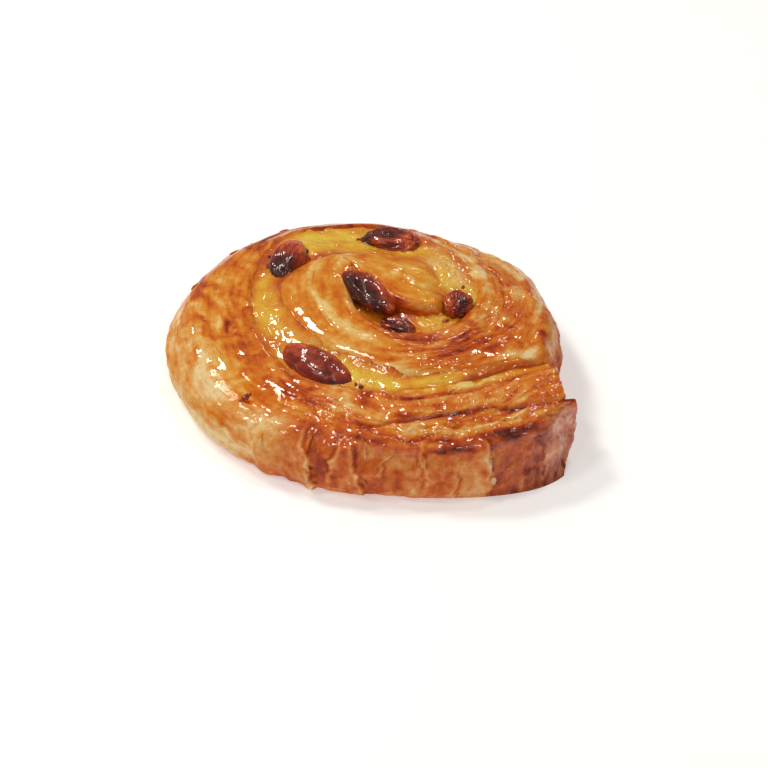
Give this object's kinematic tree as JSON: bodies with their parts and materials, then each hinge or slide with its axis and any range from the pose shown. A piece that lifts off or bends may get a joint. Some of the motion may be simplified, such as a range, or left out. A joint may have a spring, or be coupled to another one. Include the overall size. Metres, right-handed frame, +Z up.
{
  "type": "spiral raisin pastry",
  "caption": "Coil of laminated pastry dough around a custard filling, with raisins lying in the filling; a small breakfast pastry that rests on its flat base.",
  "frame": {"origin": "centre of the bounding box in plan, on the plane of the flat base", "axes": "+Z up from the base, +X to the right and +Y away from the viewer of the picture"},
  "size_m": [0.0866, 0.078, 0.021],
  "materials": {
    "dough": "baked laminated dough, golden to brown, glazed",
    "custard": "baked yellow custard, glossy and slightly translucent",
    "raisin": "dark red-brown dried grape, wrinkled and glazed"
  },
  "bodies": {
    "root": {"dough": "dough", "custard": "custard", "raisin_left_back": "raisin", "raisin_back": "raisin", "raisin_heart": "raisin", "raisin_groove": "raisin", "raisin_right": "raisin", "raisin_front": "raisin"}
  },
  "joints": []
}
